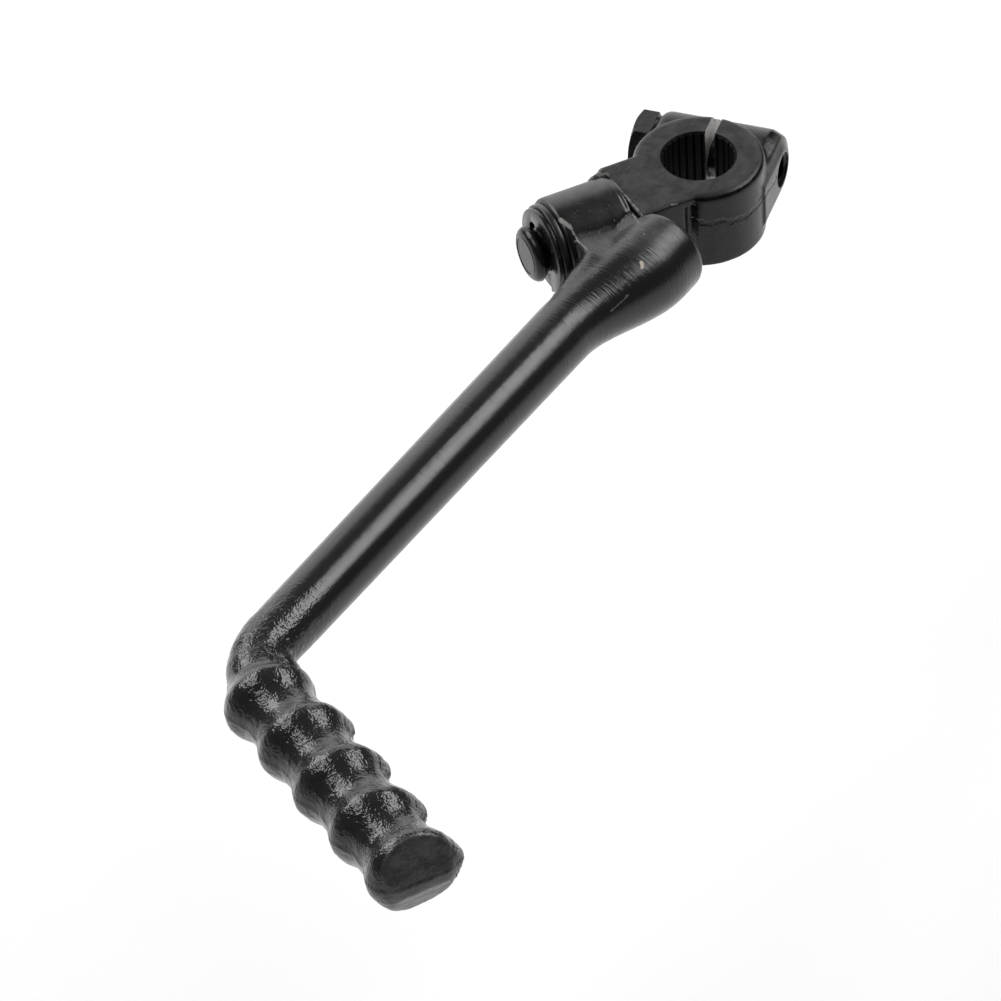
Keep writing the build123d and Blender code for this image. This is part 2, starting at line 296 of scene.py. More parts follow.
def bevel(piece, test, width, segments):
    """Round the edges that a test of their middle and direction accepts."""
    pick(piece, "EDGE", test)
    bpy.ops.mesh.bevel(offset=width * MM, segments=segments, profile=0.5, affect="EDGES")
    bpy.ops.object.mode_set(mode="OBJECT")


def slice_off(piece, place, normal):
    """Cut the piece flat at a plane, and drop what lies beyond it."""
    pick(piece, "VERT", lambda co, n: True)
    bpy.ops.mesh.bisect(plane_co=place * MM, plane_no=normal, use_fill=True, clear_outer=True)
    bpy.ops.object.mode_set(mode="OBJECT")


def press(piece, depth, test):
    """Push the vertices that a test accepts in or out along their normals."""
    pick(piece, "VERT", test)
    bpy.ops.transform.shrink_fatten(value=depth * MM)
    bpy.ops.object.mode_set(mode="OBJECT")


def join(name, pieces):
    """Make several pieces one object, which takes the first one's place."""
    clear_selection()
    for piece in pieces:
        piece.select_set(True)
    bpy.context.view_layer.objects.active = pieces[0]
    bpy.ops.object.join()
    pieces[0].name = name
    pieces[0].data.name = name
    return pieces[0]


def modify(piece, kind, **settings):
    """Add one modifier with its settings, and apply it."""
    take(piece)
    modifier = piece.modifiers.new(kind.title(), kind)
    for key, value in settings.items():
        setattr(modifier, key, value)
    bpy.ops.object.modifier_apply(modifier=modifier.name)


def melt(piece, voxel, passes):
    """Fuse overlapping forms into one even skin, and smooth it."""
    modify(piece, "REMESH", mode="VOXEL", voxel_size=voxel * MM, use_smooth_shade=True)
    modify(piece, "SMOOTH", factor=0.5, iterations=passes)


def weighted_group(piece, name, weight):
    """Vertex group in which each place has the weight that a function gives it, from 0 to 1."""
    group = piece.vertex_groups.new(name=name)
    for v in piece.data.vertices:
        amount = weight(v.co / MM)
        if amount > 0:
            group.add([v.index], amount, "REPLACE")


def soften(piece, passes, weight):
    """Smooth a region: weight gives how far each place takes part."""
    weighted_group(piece, "soft", weight)
    modify(piece, "SMOOTH", factor=0.5, iterations=passes, vertex_group="soft")
    piece.vertex_groups.remove(piece.vertex_groups["soft"])


def roughen(piece, name, size, depth, weight):
    """Push the skin in and out by clouds of a size; weight gives how far each place takes part."""
    clouds = bpy.data.textures.new(name, "CLOUDS")
    clouds.noise_scale = size * MM
    clouds.noise_depth = 1
    weighted_group(piece, name, weight)
    modify(piece, "DISPLACE", texture=clouds, texture_coords="LOCAL", strength=depth * MM, mid_level=0.5,
           vertex_group=name)
    piece.vertex_groups.remove(piece.vertex_groups[name])


def carve(piece, tool, how="DIFFERENCE"):
    """Cut the piece with a tool, or fuse the two, and drop the tool."""
    modify(piece, "BOOLEAN", operation=how, solver="MANIFOLD", object=tool)
    bpy.data.objects.remove(tool)


def weld(piece):
    """Merge the slivers that cuts leave."""
    pick(piece, "VERT", lambda co, n: True)
    bpy.ops.mesh.remove_doubles(threshold=SLIVER * MM)
    bpy.ops.mesh.dissolve_degenerate(threshold=SLIVER * MM)
    bpy.ops.object.mode_set(mode="OBJECT")


def smooth_by_angle(piece, angle):
    """Shade the piece smooth, apart from edges sharper than an angle in degrees."""
    take(piece)
    bpy.ops.object.shade_smooth_by_angle(angle=radians(angle))


def fade(value, low, high):
    """0 up to low, 1 from high on, and eased between."""
    part = min(max((value - low) / (high - low), 0), 1)
    return part * part * (3 - 2 * part)


# The knuckle: forged boss, lug and neck, then its machined cuts and the turned stub

def forged_boss():
    boss = bar("boss", Vector((0, 0, -BOSS_HALF)), Vector((0, 0, BOSS_HALF)), BOSS_RADIUS, 128)
    bevel(boss, lambda co, d: co.z > BOSS_HALF - 0.1, BOSS_TOP_ROUND, 5)
    bevel(boss, lambda co, d: co.z < -BOSS_HALF + 0.1, BOSS_FOOT_ROUND, 3)
    return boss


def forged_lug():
    turn = radians(SLIT_DIRECTION)
    outer = BOLT_OFFSET + LUG_RADIUS
    low = (0, -LUG_THREAD_SIDE, BOLT_Z - LUG_RADIUS)
    lug = block("lug", low, (outer, LUG_HEAD_SIDE, BOLT_Z + LUG_RADIUS), turn)

    def out(co):
        return co.dot(slit)

    def along(co):
        return co.dot(bolt_axis)

    def outer_edges(co, d):
        return out(co) > outer - 0.1 and abs(d.dot(bolt_axis)) > 0.9

    def thread_side(co, d):
        return along(co) > LUG_THREAD_SIDE - 0.05 and out(co) > LUG_INNER

    def head_side(co, d):
        return along(co) < -LUG_HEAD_SIDE + 0.05 and out(co) > LUG_INNER

    bevel(lug, outer_edges, LUG_RADIUS - 0.02, 12)
    bevel(lug, thread_side, LUG_THREAD_CHAMFER, 2)
    bevel(lug, head_side, LUG_HEAD_ROUND, 5)
    return lug


def forged_neck():
    top = Vector((0, 0, BOSS_HALF))
    reach = X_AXIS * (NECK_END + NECK_OVERLAP)
    corner = bar("neck_corner", pivot_middle, pivot_middle + reach, NECK_SIDE)
    slice_off(corner, top, Z_AXIS)
    side = block("neck_side", (0, PIVOT_Y, PIVOT_Z), (reach.x, PIVOT_Y + NECK_SIDE, BOSS_HALF))
    back = bar("neck_back", pivot_middle, pivot_middle + reach, NECK_BACK)
    slice_off(back, top, Z_AXIS)
    slice_off(back, Vector((0, 0, PIVOT_Z - NECK_SIDE)), -Z_AXIS)
    slice_off(back, pivot_middle, Vector((0, 1, 0)))
    return [corner, side, back]


def splined_tool():
    """Solid of the bore: splines as grooves round a bar."""
    columns = 6
    reach = Vector((0, 0, BOSS_HALF + 1))
    tool = bar("bore_tool", -reach, reach, SPLINE_TIP, SPLINES * columns)
    step = 2 * pi / SPLINES

    def in_groove(co, n):
        place = (Vector((co.x, co.y)).angle_signed(Vector((1, 0)), 0) / step) % 1
        return abs(place - 0.5) < 0.5 / columns

    pick(tool, "VERT", in_groove)
    wide = SPLINE_ROOT / SPLINE_TIP
    bpy.ops.transform.resize(value=(wide, wide, 1), center_override=(0, 0, 0))
    bpy.ops.object.mode_set(mode="OBJECT")
    return tool


def mouth_tool(sign):
    """Cone of the chamfer at one mouth of the bore."""
    clear_selection()
    high = 2.0
    mouth = SPLINE_TIP + BORE_CHAMFER
    bpy.ops.mesh.primitive_cone_add(
        vertices=168, radius1=(mouth - high) * MM, radius2=(mouth + high) * MM, depth=2 * high * MM,
        location=(0, 0, sign * BOSS_HALF * MM), rotation=(0 if sign > 0 else pi, 0, 0))
    return settle("mouth_tool")


def ring_thread(name, start, end, grow):
    """Threaded rod as rings at the thread's pitch, drawn out ring by ring from its first circle."""
    clear_selection()
    facing = bolt_axis.to_track_quat("Z", "Y").to_euler()
    place = bolt_middle + bolt_axis * start
    root, crest = THREAD_ROOT + grow, BOLT_RADIUS + grow
    bpy.ops.mesh.primitive_circle_add(
        vertices=48, radius=root * MM, fill_type="NGON", location=place * MM, rotation=facing)
    bpy.ops.object.mode_set(mode="EDIT")
    bpy.ops.mesh.select_all(action="SELECT")
    turns = int((end - start) / THREAD_PITCH)
    step = bolt_axis * THREAD_PITCH / 2
    for half in range(2 * turns):
        place = place + step
        wide = crest / root if half % 2 == 0 else root / crest
        bpy.ops.mesh.extrude_region_move(TRANSFORM_OT_translate={"value": step * MM})
        bpy.ops.transform.resize(value=(wide, wide, wide), center_override=place * MM)
    bpy.ops.mesh.select_all(action="SELECT")
    bpy.ops.mesh.normals_make_consistent(inside=False)
    bpy.ops.object.mode_set(mode="OBJECT")
    return settle(name)


def turned_stub():
    """Pivot stub with its rounded end, the clip's groove and a turned ring in its end face."""
    start = pivot_middle + X_AXIS * (NECK_END - STUB_ROOT)
    stub = bar("stub", start, pivot_middle + X_AXIS * PIN_END, PIN_RADIUS, 96)
    bevel(stub, lambda co, d: co.x > PIN_END - 0.05, STUB_ROUND, 7)
    pick(stub, "VERT", lambda co, n: True)
    low, high, root = GROOVE
    for place in (low, low + GROOVE_WALL, high - GROOVE_WALL, high):
        bpy.ops.mesh.select_all(action="SELECT")
        bpy.ops.mesh.bisect(plane_co=(place * MM, 0, 0), plane_no=X_AXIS)
    pick(stub, "VERT", lambda co, n: low + GROOVE_WALL / 2 < co.x < high - GROOVE_WALL / 2)
    narrow = root / PIN_RADIUS
    bpy.ops.transform.resize(value=(1, narrow, narrow), center_override=pivot_middle * MM)
    pick(stub, "FACE", lambda co, n: n.x > 0.95 and co.x > PIN_END - 0.1)
    bpy.ops.mesh.inset(thickness=MARK_INSET * MM)
    bpy.ops.mesh.inset(thickness=MARK_WIDTH * MM, depth=-MARK_DEPTH * MM)
    bpy.ops.mesh.inset(thickness=MARK_WIDTH * MM, depth=MARK_DEPTH * MM)
    bpy.ops.object.mode_set(mode="OBJECT")
    return stub


def back_lip():
    """Lip on the neck's back that reaches a little over the sleeve."""
    clear_selection()
    bpy.ops.mesh.primitive_cone_add(
        vertices=96, radius1=NECK_BACK * MM, radius2=LIP_END_RADIUS * MM, depth=(LIP_END - LIP_START) * MM,
        location=(pivot_middle + X_AXIS * (LIP_START + LIP_END) / 2) * MM, rotation=(0, pi / 2, 0))
    lip = settle("back_lip")
    side, inward = LIP_ACROSS * cos(LIP_HALF), LIP_MIDDLE * sin(LIP_HALF)
    slice_off(lip, pivot_middle, side - inward)
    slice_off(lip, pivot_middle + X_AXIS * LIP_START, X_AXIS * LIP_SLANT - side - inward)
    slice_off(lip, Vector((0, 0, BOSS_HALF)), Z_AXIS)
    start = pivot_middle + X_AXIS * NECK_END
    carve(lip, bar("sleeve_room", start, pivot_middle + X_AXIS * 30, SLEEVE_RADIUS + LIP_ROOM))
    modify(lip, "BEVEL", width=LIP_ROUND * MM, segments=2, limit_method="ANGLE", angle_limit=radians(30))
    return lip


def flash_height(co):
    """Height of the wavy flash line round the boss, at the angle of a place."""
    angle = degrees(Vector((1, 0)).angle_signed(Vector((co.x, co.y)), 0)) % 360
    for (a, za), (b, zb) in zip(FLASH_LINE, FLASH_LINE[1:]):
        if a <= angle <= b:
            return za + (zb - za) * (angle - a) / (b - a)
    return None


def below_flash(co, normal):
    """Skin of the boss below its flash line, which stands out a little."""
    line = flash_height(co)
    on_boss = abs(Vector((co.x, co.y)).length - BOSS_RADIUS) < 0.5 and abs(normal.z) < 0.5
    return on_boss and line is not None and -8.0 < co.z < line


def model_knuckle():
    knuckle = join("knuckle_forging", [forged_boss(), forged_lug(), *forged_neck()])
    melt(knuckle, KNUCKLE_VOXEL, 4)

    def crotch(co):
        """Where lug and neck run into the boss."""
        ring = 1 - fade(abs(Vector((co.x, co.y)).length - BOSS_RADIUS), 0.8, 2.6)
        return ring * (1 - fade(co.z, 7.2, 8.6)) * fade(co.z, -9.0, -7.5) * (1 - fade(co.y, 6, 9))

    def crevice(low, high):
        """Corner between the neck's side and the boss, over a span of X."""
        def test(co, normal):
            return low < co.x < high and co.y > 10.0 and co.z < CREVICE_TOP and abs(normal.z) < 0.5
        return test

    def round_crevice(co):
        """The crevice and what lies beside it."""
        return (fade(co.y, 8.5, 9.5) * fade(co.x, 5.6, 6.6) * (1 - fade(co.x, 9.4, 10.4))
                * (1 - fade(co.z, 6.6, 7.4)))

    soften(knuckle, 8, crotch)
    for low, high in CREVICE_SPANS:
        press(knuckle, -CREVICE_STEP, crevice(low, high))
    soften(knuckle, 4, round_crevice)
    press(knuckle, FLASH_STEP, below_flash)
    slice_off(knuckle, pivot_middle + X_AXIS * NECK_END, X_AXIS)
    carve(knuckle, turned_stub(), "UNION")
    carve(knuckle, back_lip(), "UNION")
    carve(knuckle, splined_tool())
    carve(knuckle, mouth_tool(1))
    carve(knuckle, mouth_tool(-1))
    half, high = SLIT_WIDTH / 2, CUT_REACH / 2
    carve(knuckle, block("slit_tool", (0, -half, -high), (CUT_REACH, half, high), radians(SLIT_DIRECTION)))
    head_seat = bolt_middle - bolt_axis * (LUG_HEAD_SIDE + 1)
    carve(knuckle, bar("hole_tool", head_seat, bolt_middle + bolt_axis * half, BOLT_RADIUS + BOLT_ROOM, 64))
    carve(knuckle, ring_thread("thread_tool", half - 0.1, LUG_THREAD_SIDE + 1, THREAD_ROOM))
    ball = pivot_middle + Vector((0, cos(BALL_ANGLE), sin(BALL_ANGLE))) * DETENT_RADIUS
    foot, mouth = ball + X_AXIS * (NECK_END - BALL_HOLE_DEPTH), ball + X_AXIS * (NECK_END + 1)
    carve(knuckle, bar("ball_tool", foot, mouth, BALL_HOLE_RADIUS, 32))
    weld(knuckle)
    smooth_by_angle(knuckle, 38)
    return knuckle


# The lever: one skin over rings from the tongue to the pedal's tip, fused with the sleeve

def arm_point(along, across=0.0, above=0.0):
    """Place at a distance along the arm's axis, across it to the pedal's side, and above it."""
    return arm_forward * along + arm_side * across + Vector((0, 0, PIVOT_Z)) + Vector((0, 0, above))


def arm_rings():
    """Centre, facing and radius of each ring from the tongue's end to the start of the bend."""
    rings = []
    for turn in (0, 22, 45, 68, 90):
        inset = TONGUE_ROUND * (1 - sin(radians(turn)))
        along = TONGUE_START + TONGUE_ROUND * (1 - cos(radians(turn)))
        rings.append((arm_point(along, TONGUE_SHIFT), ARM_ANGLE, TONGUE_RADIUS - inset))
    steps = 18
    for k in range(steps + 1):
        ease = fade(k / steps, 0, 1)
        along = FLARE_START + (FLARE_END - FLARE_START) * k / steps
        radius = TONGUE_RADIUS + ease * (ARM_TOP_RADIUS - TONGUE_RADIUS)
        rings.append((arm_point(along, TONGUE_SHIFT * (1 - ease)), ARM_ANGLE, radius))
    bend_start = ARM_LENGTH - BEND_TANGENT
    steps = 24
    for k in range(1, steps + 1):
        part = k / steps
        along = FLARE_END + (bend_start - FLARE_END) * part
        rings.append((arm_point(along), ARM_ANGLE, ARM_TOP_RADIUS + part * (ARM_FOOT_RADIUS - ARM_TOP_RADIUS)))
    return rings


def pedal_ring(along, radius):
    """Ring at a distance along the pedal from the corner of the bend."""
    heading = PEDAL_ANGLE - max(BEND_TANGENT - along, 0) / BEND_RADIUS
    forward = Vector((cos(heading), sin(heading), 0))
    outward = Vector((sin(heading), -cos(heading), 0))
    centre = arm_point(ARM_LENGTH - BEND_TANGENT, BEND_RADIUS)
    place = centre + outward * BEND_RADIUS + forward * max(along - BEND_TANGENT, 0)
    grown = min(max((along - PEDAL_START) / (FIRST_RIB - PEDAL_START), 0), 1)
    return place, heading - RIB_LEAN * grown, radius


def rib_wave(along):
    """0 in the valleys and 1 on the crests of the ribs."""
    return ((1 + cos(2 * pi * (along - FIRST_RIB) / RIB_PITCH)) / 2) ** RIB_SHARPNESS


def pedal_rings():
    rings = []
    arc_start = BEND_TANGENT - BEND_RADIUS * BEND_TURN
    steps = 14
    for k in range(1, steps + 1):
        along = arc_start + (PEDAL_START - arc_start) * k / steps
        rings.append(pedal_ring(along, ARM_FOOT_RADIUS))
    steps = 84
    for k in range(1, steps + 1):
        along = PEDAL_START + (LAST_RIB - PEDAL_START) * k / steps
        foot = ARM_FOOT_RADIUS if along < FIRST_RIB else VALLEY_RADIUS
        rings.append(pedal_ring(along, foot + (RIB_RADIUS - foot) * rib_wave(along)))
    for turn in range(12, 91, 13):
        along = LAST_RIB + TIP_ROUND * sin(radians(turn))
        rings.append(pedal_ring(along, RIB_RADIUS - TIP_ROUND * (1 - cos(radians(turn)))))
    return rings


def ringed_arm():
    """Skin bridged over all rings, with its two ends filled."""
    clear_selection()
    first = True
    for place, heading, radius in arm_rings() + pedal_rings():
        bpy.ops.mesh.primitive_circle_add(
            vertices=72, radius=radius * MM, location=place * MM, rotation=(0, pi / 2, heading))
        if first:
            arm = settle("arm")
            bpy.ops.object.mode_set(mode="EDIT")
            first = False
    bpy.ops.mesh.select_all(action="SELECT")
    bpy.ops.mesh.bridge_edge_loops(type="SINGLE")
    bpy.ops.mesh.select_all(action="SELECT")
    bpy.ops.mesh.fill_holes(sides=0)
    bpy.ops.mesh.select_all(action="SELECT")
    bpy.ops.mesh.normals_make_consistent(inside=False)
    bpy.ops.object.mode_set(mode="OBJECT")
    return arm


def web_blanks():
    """Two flat-topped blocks between the sleeve and the tongue, and a gusset that runs out along the arm."""
    corner = (SLEEVE_START - 1, 0, 0)
    outer = block("web_outer", corner, WEB_OUTER_CORNER)
    slice_off(outer, *WEB_OUTER_TOP)
    slice_off(outer, *WEB_OUTER_END)
    inner = block("web_inner", corner, WEB_INNER_CORNER)
    slice_off(inner, *WEB_INNER_TOP)
    gusset = bar("gusset", arm_point(*GUSSET_START), arm_point(*GUSSET_END), GUSSET_RADIUS, 48)
    return [outer, inner, gusset]


def inner_bend():
    """Fill in the inside of the bend, beside the first rib."""
    clear_selection()
    heading = ARM_ANGLE + FILL_TURN * BEND_TURN
    outward = Vector((sin(heading), -cos(heading), 0))
    place = arm_point(ARM_LENGTH - BEND_TANGENT, BEND_RADIUS) + outward * FILL_DISTANCE
    bpy.ops.mesh.primitive_uv_sphere_add(
        segments=32, ring_count=16, radius=FILL_RADIUS * MM, location=place * MM)
    return settle("inner_bend")


def sleeve_blank():
    start = pivot_middle + X_AXIS * (SLEEVE_START - 1)
    sleeve = bar("sleeve", start, pivot_middle + X_AXIS * SLEEVE_END, SLEEVE_RADIUS)
    bevel(sleeve, lambda co, d: co.x > SLEEVE_END - 0.05, SLEEVE_ROUND, 2)
    return sleeve


def pedal_place(co):
    """Distance along the pedal from the corner of the bend, and across it to its outer side."""
    corner = arm_point(ARM_LENGTH)
    forward = Vector((cos(PEDAL_ANGLE), sin(PEDAL_ANGLE), 0))
    outward = Vector((sin(PEDAL_ANGLE), -cos(PEDAL_ANGLE), 0))
    return (co - corner).dot(forward), (co - corner).dot(outward)


def tip_face(lift, drop=0.0):
    """A point and the normal of a flat face of the tip, which leans by an angle from the parting line."""
    tip, heading = pedal_ring(LAST_RIB + TIP_ROUND, 0)[:2]
    normal = Vector((cos(heading) * cos(lift), sin(heading) * cos(lift), sin(lift)))
    return tip + Vector((0, 0, PARTING_Z - PIVOT_Z - drop)), normal


TIP_FACES = tip_face(TIP_SLOPE), tip_face(-TIP_UNDERCUT, TIP_DROP)


def model_lever():
    arm = ringed_arm()
    for face in TIP_FACES:
        slice_off(arm, *face)
    lever = join("lever_forging", [arm, sleeve_blank(), *web_blanks(), inner_bend()])
    melt(lever, LEVER_VOXEL, 3)
    bend_inside = arm_point(ARM_LENGTH - BEND_TANGENT, FILL_SOFT_SIDE)
    tip, tip_normal = TIP_FACES[0]

    def near(place, low, high):
        """1 up to a distance from a place, and 0 from a greater one on."""
        return lambda co: 1 - fade((co - place).length, low, high)

    def crotch(co):
        """Where the web runs into the arm."""
        start, run = WEB_CROTCH_START, WEB_CROTCH_RUN
        part = min(max((co - start).dot(run) / run.length_squared, 0), 1)
        return (1 - fade((co - start - run * part).length, 1.5, 3.2)) * (1 - fade(co.x, 31.5, 33.3))

    def seam_edge(reach):
        """Edge of the sleeve beside the neck, rounded off up to a reach."""
        def test(co, normal):
            away = Vector((co.y - PIVOT_Y, co.z - PIVOT_Z)).length
            return co.x < SLEEVE_START + reach and away > 9.0 and co.y < PIVOT_Y + TONGUE_FLAT
        return test

    def on_pedal(co):
        """The rough pedal, with a smoother face at its tip."""
        return fade(arm_forward.dot(co), 138, 158) * (1 - 0.8 * fade((co - tip).dot(tip_normal), -0.9, -0.3))

    def at_parting(co, normal):
        return pedal_place(co)[0] > 2 and abs(co.z - PARTING_Z) < 0.35 and abs(normal.z) < 0.6

    def under_parting(co, normal):
        return pedal_place(co)[0] > 2 and PARTING_Z - 3.5 < co.z < PARTING_Z - 0.3 and abs(normal.z) < 0.45

    def crest_flash(reach):
        """Flash left on the inner ends of the later ribs, up to a reach from the parting line."""
        def test(co, normal):
            along, outward = pedal_place(co)
            crest = rib_wave(along + outward * tan(RIB_LEAN)) > 0.55 - 0.08 * reach
            on_line = abs(co.z - PARTING_Z) < reach and abs(normal.z) < 0.8 and normal.y < 0.75
            return crest and on_line and along > FIRST_RIB + RIB_PITCH / 2 and outward < -4
        return test

    soften(lever, 30, crotch)
    soften(lever, 60, near(arm_point(*GUSSET_RUNOUT), 4, 9))
    soften(lever, 80, near(WEB_STEP, 2.0, 5.0))
    for reach in SEAM_REACHES:
        press(lever, -SEAM_STEP, seam_edge(reach))
    soften(lever, 40, near(bend_inside, 4, 11))
    for reach in RIB_FLASH_REACHES:
        press(lever, RIB_FLASH_STEP, crest_flash(reach))
    press(lever, PARTING_HEIGHT, at_parting)
    press(lever, UNDERSIDE_HEIGHT, under_parting)
    roughen(lever, "lumps", *LUMPS, on_pedal)
    roughen(lever, "peel", *PEEL, on_pedal)
    carve(lever, bar("pin_tool", pivot_middle, pivot_middle + X_AXIS * 60, PIN_RADIUS + PIN_ROOM))
    corner = (SLEEVE_START + SEAM_ROOM, PIVOT_Y + TONGUE_FLAT, CUT_REACH)
    carve(lever, block("neck_tool", (-5, -CUT_REACH, -CUT_REACH), corner))
    clear_selection()
    groove = pivot_middle + X_AXIS * (NECK_END - BALL_GROOVE_SINK)
    bpy.ops.mesh.primitive_torus_add(
        location=groove * MM, rotation=(0, pi / 2, 0), major_radius=DETENT_RADIUS * MM,
        minor_radius=BALL_GROOVE_RADIUS * MM, major_segments=96, minor_segments=24)
    carve(lever, settle("groove_tool"))
    smooth_by_angle(lever, 38)
    return lever


def softened_copy(node, name, width, segments):
    """A small turned or pressed piece: its solid's form with rounded edges."""
    clear_selection()
    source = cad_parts[node]
    copy = source.copy()
    copy.data = source.data.copy()
    copy.parent = None
    bpy.context.scene.collection.objects.link(copy)
    for key in list(copy.keys()):
        del copy[key]
    take(copy)
    copy.name = name
    copy.data.name = name
    bpy.ops.object.mode_set(mode="EDIT")
    bpy.ops.mesh.select_all(action="SELECT")
    bpy.ops.mesh.remove_doubles(threshold=DOUBLES * MM)
    bpy.ops.mesh.dissolve_limited(angle_limit=radians(1.0))
    bpy.ops.object.mode_set(mode="OBJECT")
    modify(copy, "BEVEL", width=width * MM, segments=segments, limit_method="ANGLE", angle_limit=radians(40))
    smooth_by_angle(copy, 40)
    return copy


def model_bolt():
    """Hexagon bolt: head drawn from a six-sided bar, shank, and thread rings."""
    seat = bolt_middle - bolt_axis * LUG_HEAD_SIDE
    corner = HEAD_FLAT / cos(pi / 6)
    head = bar("pinch_bolt_black", seat - bolt_axis * HEAD_TOP, seat - bolt_axis * HEAD_FOOT, corner, 6, pi / 6)
    clear_selection()
    reach = 8.0
    bpy.ops.mesh.primitive_cone_add(
        vertices=96, radius1=HEAD_FLAT * MM, radius2=(HEAD_FLAT + reach / tan(pi / 6)) * MM, depth=reach * MM,
        location=(seat - bolt_axis * (HEAD_TOP - reach / 2)) * MM,
        rotation=bolt_axis.to_track_quat("Z", "Y").to_euler())
    carve(head, settle("chamfer_tool"), "INTERSECT")
    modify(head, "BEVEL", width=0.14 * MM, segments=2, limit_method="ANGLE", angle_limit=radians(30))
    flange = bar("bolt_flange", seat - bolt_axis * FLANGE_TOP, seat, FLANGE_RADIUS, 64)
    shank = bar("bolt_shank", seat - bolt_axis * 0.3, bolt_middle + bolt_axis * 1.2, BOLT_RADIUS, 64)
    thread = ring_thread("bolt_thread", THREAD_START, BOLT_TIP, 0.0)
    for form in (flange, shank, thread):
        carve(head, form, "UNION")
    weld(head)
    smooth_by_angle(head, 30)
    return head


# Finishes

def new_finish(name):
    """Empty finish: its material, node tree, shader and object coordinates."""
    material = bpy.data.materials.new(name)
    material.use_nodes = True
    tree = material.node_tree
    place = node(tree, "ShaderNodeTexCoord").outputs["Object"]
    return material, tree, tree.nodes["Principled BSDF"], place


def node(tree, kind, **settings):
    made = tree.nodes.new(kind)
    for key, value in settings.items():
        setattr(made, key, value)
    return made


def feed(tree, socket, value):
    """Wire a socket to another, or set its value."""
    if isinstance(value, bpy.types.NodeSocket):
        tree.links.new(value, socket)
    else:
        socket.default_value = value


def calc(tree, operation, *values, clamp=False):
    made = node(tree, "ShaderNodeMath", operation=operation, use_clamp=clamp)
    for socket, value in zip(made.inputs, values):
        feed(tree, socket, value)
    return made.outputs[0]


def vector(tree, operation, first, second):
    made = node(tree, "ShaderNodeVectorMath", operation=operation)
    feed(tree, made.inputs[0], first)
    feed(tree, made.inputs["Scale" if operation == "SCALE" else 1], second)
    return made.outputs["Value" if operation in ("DOT_PRODUCT", "DISTANCE") else "Vector"]


def span(tree, value, low, high):
    """0 at low, 1 at high, eased between; low may be above high."""
    made = node(tree, "ShaderNodeMapRange", interpolation_type="SMOOTHSTEP")
    feed(tree, made.inputs["Value"], value)
    made.inputs["From Min"].default_value = low
    made.inputs["From Max"].default_value = high
    return made.outputs["Result"]


def noise(tree, place, size, detail=2.0, distortion=0.0):
    """Noise from 0 to 1 with features of a size."""
    made = node(tree, "ShaderNodeTexNoise")
    feed(tree, made.inputs["Vector"], place)
    made.inputs["Scale"].default_value = 1 / (size * MM)
    made.inputs["Detail"].default_value = detail
    made.inputs["Distortion"].default_value = distortion
    return made.outputs["Fac"]


def drawn_out(tree, place, turn, stretch):
    """Coordinates turned about the upright, and stretched along each of their axes."""
    made = node(tree, "ShaderNodeMapping", vector_type="TEXTURE")
    feed(tree, made.inputs["Vector"], place)
    made.inputs["Rotation"].default_value = (0, 0, turn)
    made.inputs["Scale"].default_value = stretch
    return made.outputs["Vector"]


def blend_value(tree, amount, first, second):
    made = node(tree, "ShaderNodeMix", data_type="FLOAT")
    for socket, value in zip((made.inputs[0], made.inputs[2], made.inputs[3]), (amount, first, second)):
        feed(tree, socket, value)
    return made.outputs[0]


def blend_color(tree, amount, first, second):
    made = node(tree, "ShaderNodeMix", data_type="RGBA")
    for socket, value in zip((made.inputs[0], made.inputs[6], made.inputs[7]), (amount, first, second)):
        feed(tree, socket, value)
    return made.outputs[2]


def add_up(tree, *values):
    total = values[0]
    for value in values[1:]:
        total = calc(tree, "ADD", total, value)
    return total


def product(tree, *values):
    total = values[0]
    for value in values[1:]:
        total = calc(tree, "MULTIPLY", total, value)
    return total


def inverse(tree, value):
    """1 where the value is 0, and 0 where it is 1."""
    return calc(tree, "SUBTRACT", 1.0, value)


def spread(tree, value, amount, base=0.0):
    """Noise from 0 to 1 turned into a shift either way, added to a base."""
    return calc(tree, "MULTIPLY_ADD", calc(tree, "SUBTRACT", value, 0.5), amount, base)


def line_gap(tree, place, points):
    """Distance in millimetres from a line drawn through points."""
    nearest = None
    for start, end in zip(points, points[1:]):
        start, run = Vector(start) * MM, (Vector(end) - Vector(start)) * MM
        away = vector(tree, "SUBTRACT", place, start)
        part = calc(tree, "DIVIDE", vector(tree, "DOT_PRODUCT", away, run), run.length_squared, clamp=True)
        gap = vector(tree, "DISTANCE", away, vector(tree, "SCALE", run, part))
        nearest = gap if nearest is None else calc(tree, "MINIMUM", nearest, gap)
    return calc(tree, "DIVIDE", nearest, MM)


def chipped(tree, place, lines, width, raggedness):
    """1 along lines, with ragged edges: where paint has chipped off, and also where a painted highlight or a
    lighter stroke runs along an edge.
    """
    rag = noise(tree, place, 0.9, 4.0)
    worn = None
    for line in lines:
        gap = spread(tree, rag, raggedness, line_gap(tree, place, line))
        hit = span(tree, gap, width, width * 0.55)
        worn = hit if worn is None else calc(tree, "MAXIMUM", worn, hit)
    return worn


def specks(tree, place, centre, reach, size):
    """Small bright dots scattered round a place."""
    cells = node(tree, "ShaderNodeTexVoronoi")
    feed(tree, cells.inputs["Vector"], place)
    cells.inputs["Scale"].default_value = 1 / (size * MM)
    dot = span(tree, cells.outputs["Distance"], 0.2, 0.12)
    kept = calc(tree, "GREATER_THAN", vector(tree, "DOT_PRODUCT", cells.outputs["Color"], X_AXIS), 0.72)
    near = span(tree, vector(tree, "DISTANCE", place, Vector(centre) * MM), reach * MM, reach * MM * 0.3)
    return product(tree, dot, kept, near)


def bump(tree, shader, height):
    """Relief on the shader from a height in millimetres."""
    made = node(tree, "ShaderNodeBump")
    made.inputs["Strength"].default_value = 1.0
    made.inputs["Distance"].default_value = MM
    feed(tree, made.inputs["Height"], height)
    tree.links.new(made.outputs["Normal"], shader.inputs["Normal"])


